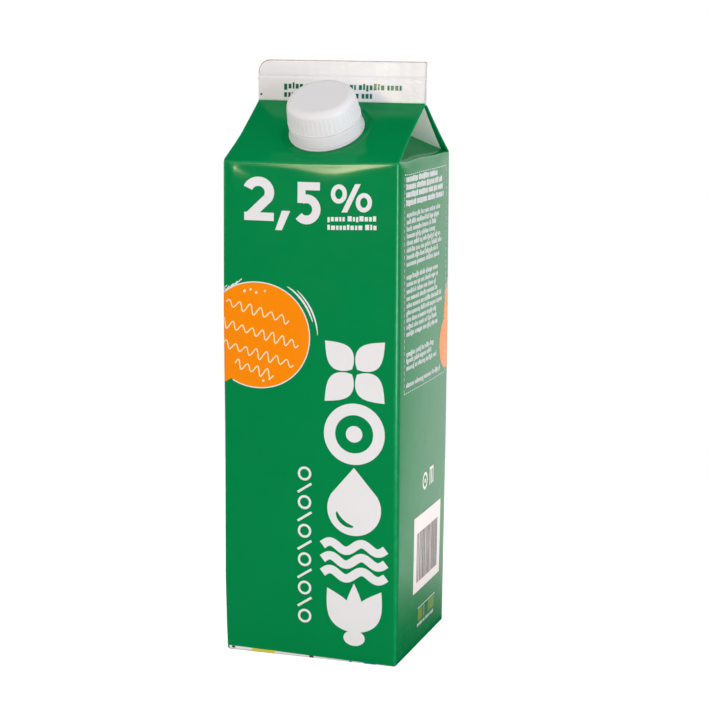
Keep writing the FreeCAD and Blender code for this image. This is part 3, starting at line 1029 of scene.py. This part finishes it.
def foot_drawings(m):
    """The unprinted strip round the foot, deeper at the front's left, with the printer's colour patches."""
    quarter = outline(m, 0.0).quarter
    s = np.linspace(-2 * quarter, 2 * quarter, 260)
    top = np.interp(s, [-2 * quarter, -m.half, m.half, 2 * quarter], [0.8, 1.75, 0.35, 0.8])
    share = np.linspace(0, 1, 6)
    grid = np.stack([np.broadcast_to(s[None, :], (6, len(s))), share[:, None] * top[None, :]], -1)
    strip = (grid.reshape(-1, 2), split(grid_quads(6, len(s))))
    patches = (
        (bar(-32.7, 0.8, -31.4, 1.65, 0.3), DARK, 2),
        (bar(-24.3, 0.35, -14.5, 1.45, 0.4), YELLOW, 2),
        (bar(0.2, 0.25, 1.9, 1.05, 0.3), DARK, 2),
        (bar(16.6, 0.1, 17.5, 0.75, 0.3), BLUE, 2),
        (bar(22.3, 0.02, 26.9, 0.6, 0.3), BLUE, 2),
    )
    return [(strip, WHITE, 1), *patches]


# ---------------------------------------------------------------- finishes


def feed(tree, socket, value):
    """Sets a shader input to a value, or links it to the socket that gives it."""
    if isinstance(value, bpy.types.NodeSocket):
        tree.links.new(value, socket)
    else:
        socket.default_value = value


def add_node(tree, kind, settings=None, **inputs):
    """A shader node with its settings and inputs; an input that is a socket is linked."""
    node = tree.nodes.new(kind)
    for key, value in (settings or {}).items():
        setattr(node, key, value)
    for key, value in inputs.items():
        feed(tree, node.inputs[key.replace("_", " ")], value)
    return node


def calculate(tree, operation, *values):
    """The result of a Math node over numbers and sockets."""
    node = add_node(tree, "ShaderNodeMath", {"operation": operation})
    for socket, value in zip(node.inputs, values):
        feed(tree, socket, value)
    return node.outputs[0]


def noise(tree, where, scale, detail, roughness):
    """A noise's value at each place."""
    node = add_node(tree, "ShaderNodeTexNoise", Vector=where, Scale=scale, Detail=detail, Roughness=roughness)
    return node.outputs["Fac"]


def map_range(tree, value, start, end, low, high, kind="LINEAR"):
    """The value carried from start..end to low..high, evenly or as a SMOOTHSTEP."""
    limits = {"From_Min": start, "From_Max": end, "To_Min": low, "To_Max": high}
    node = add_node(tree, "ShaderNodeMapRange", {"interpolation_type": kind}, Value=value, **limits)
    return node.outputs["Result"]


def mix_shaders(tree, factor, first, second):
    """The first shader where the factor is 0 and the second where it is 1."""
    node = add_node(tree, "ShaderNodeMixShader", Fac=factor)
    feed(tree, node.inputs[1], first)
    feed(tree, node.inputs[2], second)
    return node.outputs[0]


def ramp(tree, factor, stops):
    """A colour ramp through (place, colour) stops."""
    node = add_node(tree, "ShaderNodeValToRGB", Fac=factor)
    elements = node.color_ramp.elements
    while len(elements) < len(stops):
        elements.new(0.5)
    for element, (place, colour) in zip(elements, stops):
        element.position = place
        element.color = (*colour, 1.0)
    return node.outputs["Color"]


def shade(colour, by):
    """The colour made lighter or darker, kept within range."""
    return tuple(min(1.0, max(0.0, channel * by)) for channel in colour)


def finish(name, colour, roughness, specular, drift, grain, depth, sub=0.0, worn=None, spread=0.05):
    """
    A surface finish in Object coordinates: the colour drifts with a broad noise, roughness wanders by its
    spread with another, and a fine one, grain millimetres large, gives the bump, depth in millimetres. worn
    is the colour of rubbed creases, where the crease attribute and a patchy noise say so; sub is how much
    light goes under.
    """
    material = bpy.data.materials.new(name)
    material.use_nodes = True
    tree = material.node_tree
    shader = tree.nodes["Principled BSDF"]
    where = add_node(tree, "ShaderNodeTexCoord").outputs["Object"]
    tone = ramp(tree, noise(tree, where, 38.0, 6.0, 0.62), [
        (0.25, shade(colour, 1 - drift)), (0.5, colour), (0.75, shade(colour, 1 + drift)),
    ])
    if worn is not None:
        crease = add_node(tree, "ShaderNodeAttribute", {"attribute_name": "crease"}).outputs["Fac"]
        rub = map_range(tree, noise(tree, where, 260.0, 4.0, 0.7), 0.36, 0.66, 0.25, 1.0)
        mix = add_node(tree, "ShaderNodeMix", {"data_type": "RGBA"})
        feed(tree, mix.inputs[0], calculate(tree, "MULTIPLY", crease, rub))
        feed(tree, mix.inputs[6], tone)
        feed(tree, mix.inputs[7], (*worn, 1.0))
        tone = mix.outputs[2]
    feed(tree, shader.inputs["Base Color"], tone)
    wander = noise(tree, where, 95.0, 4.0, 0.6)
    rough = map_range(tree, wander, 0.3, 0.7, roughness - spread, roughness + spread)
    feed(tree, shader.inputs["Roughness"], rough)
    fine = noise(tree, where, 1 / (grain * MM), 3.0, 0.55)
    bump = add_node(tree, "ShaderNodeBump", Strength=1.0, Distance=depth * MM, Height=fine)
    feed(tree, shader.inputs["Normal"], bump.outputs["Normal"])
    shader.inputs["Specular IOR Level"].default_value = specular
    if sub:
        shader.inputs["Subsurface Weight"].default_value = sub
        shader.inputs["Subsurface Radius"].default_value = (1.0, 1.0, 1.0)
        shader.inputs["Subsurface Scale"].default_value = 0.0012


def ink_colours():
    """Each ink's colour and how far it drifts."""
    colours = bpy.context.scene.carton_colours
    return {
        "white": (tuple(colours.white_ink), 0.02),
        "orange": (tuple(colours.orange_ink), 0.03),
        "cream": (tuple(colours.cream_ink), 0.03),
        "dark": ((0.045, 0.042, 0.045), 0.10),
        "yellow": ((0.62, 0.56, 0.05), 0.05),
        "lime": ((0.08, 0.31, 0.05), 0.05),
        "blue": ((0.01, 0.20, 0.72), 0.05),
        "green": (shade(colours.green, 0.95), 0.05),
        "pine": ((0.0, 0.14, 0.075), 0.05),
        "mint": ((0.52, 0.74, 0.60), 0.03),
        "olive": ((0.20, 0.27, 0.03), 0.08),
        "umber": ((0.13, 0.115, 0.11), 0.06),
        "ivory": ((0.92, 0.81, 0.78), 0.02),
    }


def material_set():
    """Every finish by name, made once and then found again."""
    if "printed_green" in bpy.data.materials:
        return {material.name: material for material in bpy.data.materials}
    colours = bpy.context.scene.carton_colours
    green = tuple(colours.green)
    spout = tuple(colours.spout_white)
    finish("printed_green", green, 0.155, 0.30, 0.03, 1.1, 0.005, worn=WORN_GREEN, spread=0.025)
    finish("roof_green", green, 0.155, 0.10, 0.03, 1.1, 0.005, worn=WORN_GREEN, spread=0.025)
    finish("gable_green", green, 0.34, 0.04, 0.03, 1.1, 0.006)
    for name, (colour, drift) in ink_colours().items():
        finish(f"{name}_print", colour, 0.18, 0.30, drift, 1.1, 0.006, spread=0.04)
    finish("bare_board", tuple(colours.board_white), 0.42, 0.30, 0.03, 0.9, 0.02)
    finish("fin_board", shade(colours.white_ink, 1.07), 0.22, 0.24, 0.02, 1.5, 0.11, spread=0.06)
    finish("raw_board_edge", tuple(colours.raw_edge), 0.85, 0.15, 0.35, 0.35, 0.06)
    finish("cap_plastic", tuple(colours.cap_white), 0.42, 0.35, 0.015, 0.8, 0.008, sub=0.15)
    finish("spout_plastic", spout, 0.30, 0.45, 0.015, 0.9, 0.006, sub=0.15)
    # The flange is the spout's own plastic made darker by 0.84: painted shade for where the tamper band and
    # the roof shade it.
    finish("flange_plastic", shade(spout, 0.84), 0.34, 0.40, 0.015, 0.9, 0.006, sub=0.15)
    finish("studio_floor", (0.85, 0.85, 0.85), 0.8, 0.1, 0.01, 3.0, 0.01)
    return {material.name: material for material in bpy.data.materials}


def inks():
    """The print's finishes in the order of the ink numbers."""
    made = material_set()
    return [made[f"{name}_print"] for name in INKS]


# ---------------------------------------------------------------- studio


def area_lamp(name, place, target, width, height, energy, colour):
    """A soft box that faces its target."""
    data = bpy.data.lights.new(name, "AREA")
    data.shape = "RECTANGLE"
    data.size = width
    data.size_y = height
    data.energy = energy
    data.color = colour
    lamp = bpy.data.objects.new(name, data)
    bpy.context.scene.collection.objects.link(lamp)
    lamp.location = place
    lamp.rotation_euler = (Vector(target) - Vector(place)).to_track_quat("-Z", "Y").to_euler()


def studio_world(ambient):
    """White to the camera, even light on matt surfaces, and in gloss a white wall behind a darker room."""
    world = bpy.data.worlds.new("studio")
    bpy.context.scene.world = world
    world.use_nodes = True
    tree = world.node_tree
    tree.nodes.clear()
    path = add_node(tree, "ShaderNodeLightPath").outputs
    where = add_node(tree, "ShaderNodeTexCoord").outputs["Generated"]
    parts = add_node(tree, "ShaderNodeSeparateXYZ", Vector=where).outputs
    aside = calculate(tree, "ABSOLUTE", calculate(tree, "ARCTAN2", parts["X"], parts["Y"]))
    wall = map_range(tree, aside, *WALL_SIDE, 1.0, 0.0, "SMOOTHSTEP")
    above = map_range(tree, parts["Z"], *WALL_FOOT, 0.0, 1.0, "SMOOTHSTEP")
    under = map_range(tree, parts["Z"], *WALL_TOP, 1.0, 0.0, "SMOOTHSTEP")
    bright = calculate(tree, "MULTIPLY", wall, calculate(tree, "MULTIPLY", above, under))
    matt, gloss, white = (
        add_node(tree, "ShaderNodeBackground", Color=(1.0, 1.0, 1.0, 1.0), Strength=strength).outputs[0]
        for strength in (ambient, bright, 1.0)
    )
    seen = calculate(tree, "MAXIMUM", path["Is Camera Ray"], path["Is Transmission Ray"])
    lit = mix_shaders(tree, path["Is Glossy Ray"], matt, gloss)
    add_node(tree, "ShaderNodeOutputWorld", Surface=mix_shaders(tree, seen, lit, white))


def studio_floor():
    """A round pale floor just under the carton; the camera sees it lifted to white, and its shadow stays."""
    count = 96
    bearing = FULL_TURN * np.arange(count) / count
    reach = np.array([0.02, 0.05, 0.1, 0.2, 0.35])
    ring = np.stack([np.cos(bearing), np.sin(bearing), 0 * bearing], -1)
    points = np.vstack([[0, 0, 0], (reach[:, None, None] * ring).reshape(-1, 3)])
    points[:, 2] = FLOOR_HEIGHT
    around = np.arange(count)
    fan = np.stack([np.zeros(count, int), 1 + around, 1 + (around + 1) % count], -1)
    quads = 1 + grid_quads(len(reach), count, wrap_columns=True)[:, ::-1]
    mesh = bpy.data.meshes.new("floor")
    mesh.from_pydata(points.tolist(), [], fan.tolist() + quads.tolist())
    floor = bpy.data.objects.new("floor", mesh)
    bpy.context.scene.collection.objects.link(floor)
    material = material_set()["studio_floor"]
    tree = material.node_tree
    shader = tree.nodes["Principled BSDF"]
    seen = add_node(tree, "ShaderNodeLightPath").outputs["Is Camera Ray"]
    shader.inputs["Emission Color"].default_value = (1.0, 1.0, 1.0, 1.0)
    feed(tree, shader.inputs["Emission Strength"], calculate(tree, "MULTIPLY", seen, FLOOR_GLOW))
    mesh.materials.append(material)
    floor.visible_glossy = False


def studio_camera(studio):
    """The camera from its place, heading, tilt and roll."""
    heading, tilt, roll = studio.camera_turn
    ahead = Vector((-math.sin(heading) * math.cos(tilt), math.cos(heading) * math.cos(tilt), -math.sin(tilt)))
    level = Vector((math.cos(heading), math.sin(heading), 0.0))
    upright = level.cross(ahead)
    right = math.cos(roll) * level + math.sin(roll) * upright
    up = -math.sin(roll) * level + math.cos(roll) * upright
    data = bpy.data.cameras.new("studio_camera")
    data.lens = studio.lens
    data.sensor_width = 36.0
    data.clip_start = 0.01
    camera = bpy.data.objects.new("studio_camera", data)
    bpy.context.scene.collection.objects.link(camera)
    turn = Matrix((right, up, -ahead)).transposed().to_4x4()
    camera.matrix_world = Matrix.Translation(Vector(studio.camera_place)) @ turn
    bpy.context.scene.camera = camera


# ---------------------------------------------------------------- operators


class CARTON_OT_body(bpy.types.Operator):
    """Fold the four body panels, the base and the side seam"""

    bl_idname = "carton.body"
    bl_label = "Body panels and base"

    def execute(self, context):
        m = measures()
        made = material_set()
        body_sleeve(m, [made["printed_green"]])
        base_closure(m, [made["bare_board"], made["raw_board_edge"]])
        side_seam_edge(m, [made["raw_board_edge"]])
        return {"FINISHED"}


class CARTON_OT_roof(bpy.types.Operator):
    """Fold the two roof panels and the two gable triangles between them"""

    bl_idname = "carton.roof"
    bl_label = "Roof and gables"

    def execute(self, context):
        m = measures()
        made = material_set()
        for side in (-1, 1):
            roof_panel(m, side, [made["roof_green"], made["bare_board"]])
            gable_floor(m, side, [made["gable_green"]])
        return {"FINISHED"}


class CARTON_OT_fin(bpy.types.Operator):
    """Seal the fin along the ridge and show the board's cut edge around it"""

    bl_idname = "carton.fin"
    bl_label = "Ridge fin"

    def execute(self, context):
        m = measures()
        made = material_set()
        ridge_fin(m, [made["fin_board"]])
        fin_raw_edge(m, [made["raw_board_edge"]])
        return {"FINISHED"}


class CARTON_OT_spout(bpy.types.Operator):
    """Turn the flange, the tamper band and the ribbed cap on the spout's axis"""

    bl_idname = "carton.spout"
    bl_label = "Spout and cap"

    def execute(self, context):
        m = measures()
        made = material_set()
        spout_flange(m, [made["flange_plastic"]])
        band_ring(m, [made["spout_plastic"]])
        screw_cap(m, [made["cap_plastic"]])
        return {"FINISHED"}


class CARTON_OT_print(bpy.types.Operator):
    """Lay the print on the four body panels, the fin and the foot"""

    bl_idname = "carton.print"
    bl_label = "Print"

    def execute(self, context):
        m = measures()
        quarter = outline(m, 0.0).quarter

        def on_panel(number):
            """Places a drawing on a body panel, its middle at the panel's middle."""
            return lambda x, z, lift: skin(m, x + number * quarter, z, lift)

        def on_fin(side):
            """Places a drawing on a face of the fin, read from outside."""
            return lambda x, z, lift: fin_place(m, side, -side * x, z, lift)

        print_piece("front_print", front_drawings(m), on_panel(0), inks())
        print_piece("rear_print", front_drawings(m), on_panel(2), inks())
        print_piece("right_print", information_drawings(300, True), on_panel(1), inks())
        print_piece("left_print", information_drawings(700, False), on_panel(3), inks())
        print_piece("foot_print", foot_drawings(m), on_panel(0), inks())
        rows = [
            (word_row(-24.0, 26.4, 224.7, 1.9, 41, 0.5, (0.7, 1.4), 0.3), PINE, 1),
            (word_row(-24.0, 14.4, 221.3, 1.9, 42, 0.5, (0.7, 1.4), 0.3), PINE, 1),
            (bar(-m.half + 0.3, m.ridge + 0.15, m.half - 0.3, m.ridge + 0.5), MINT, 1),
            (filled(circle(-33.8, 221.3, 0.45, 14)), DARK, 1),
        ]
        print_piece("fin_print_front", rows, on_fin(-1), inks())
        print_piece("fin_print_rear", rows[2:3], on_fin(1), inks())
        return {"FINISHED"}


class CARTON_OT_stage(bpy.types.Operator):
    """Set up the floor, the backdrop, the lamps and the camera"""

    bl_idname = "carton.stage"
    bl_label = "Studio"

    def execute(self, context):
        studio = context.scene.carton_studio
        context.scene.view_settings.view_transform = "Standard"
        studio_world(studio.ambient)
        studio_floor()
        aim = (0.0, 0.0, 0.13)
        high = (0.0, 0.0, 0.2)
        white = (1.0, 1.0, 1.0)
        area_lamp("key_box", (-0.44, -1.45, 0.46), aim, 0.16, 0.26, studio.key_power, (1.0, 0.85, 0.55))
        area_lamp("top_box", (0.10, -0.35, 1.30), aim, 1.00, 1.00, studio.top_power, white)
        area_lamp("side_box", (1.25, -0.62, 0.14), high, 0.80, 0.60, studio.side_power, (0.96, 0.98, 1.0))
        area_lamp("left_card", (-1.25, -0.55, 0.40), high, 0.80, 0.70, studio.left_power, white)
        studio_camera(studio)
        return {"FINISHED"}


class CARTON_PT_sidebar(bpy.types.Panel):
    """Lists the carton's operators and settings in the sidebar"""

    bl_label = "Gable-top carton"
    bl_space_type = "VIEW_3D"
    bl_region_type = "UI"
    bl_category = "Carton"

    def draw(self, context):
        column = self.layout.column()
        for operator in OPERATORS:
            column.operator(operator.bl_idname)
        for group in ("carton_sizes", "carton_colours", "carton_studio"):
            owner = getattr(context.scene, group)
            for key in owner.__annotations__:
                column.prop(owner, key)


GROUPS = {"carton_sizes": CartonSizes, "carton_colours": CartonColours, "carton_studio": CartonStudio}
OPERATORS = (
    CARTON_OT_body, CARTON_OT_roof, CARTON_OT_fin, CARTON_OT_spout, CARTON_OT_print, CARTON_OT_stage,
)


def register():
    """Makes the property groups, operators and panel known, and hangs the groups on the scene."""
    for kind in (*GROUPS.values(), *OPERATORS, CARTON_PT_sidebar):
        bpy.utils.register_class(kind)
    for key, group in GROUPS.items():
        setattr(bpy.types.Scene, key, PointerProperty(type=group))


def unregister():
    """Takes all of it away again."""
    for key in GROUPS:
        delattr(bpy.types.Scene, key)
    for kind in reversed((*GROUPS.values(), *OPERATORS, CARTON_PT_sidebar)):
        bpy.utils.unregister_class(kind)


def main():
    """Builds the carton piece by piece."""
    register()
    bpy.ops.carton.body()
    bpy.ops.carton.roof()
    bpy.ops.carton.fin()
    bpy.ops.carton.spout()
    bpy.ops.carton.print()
    bpy.ops.carton.stage()


if __name__ == "__main__":
    main()
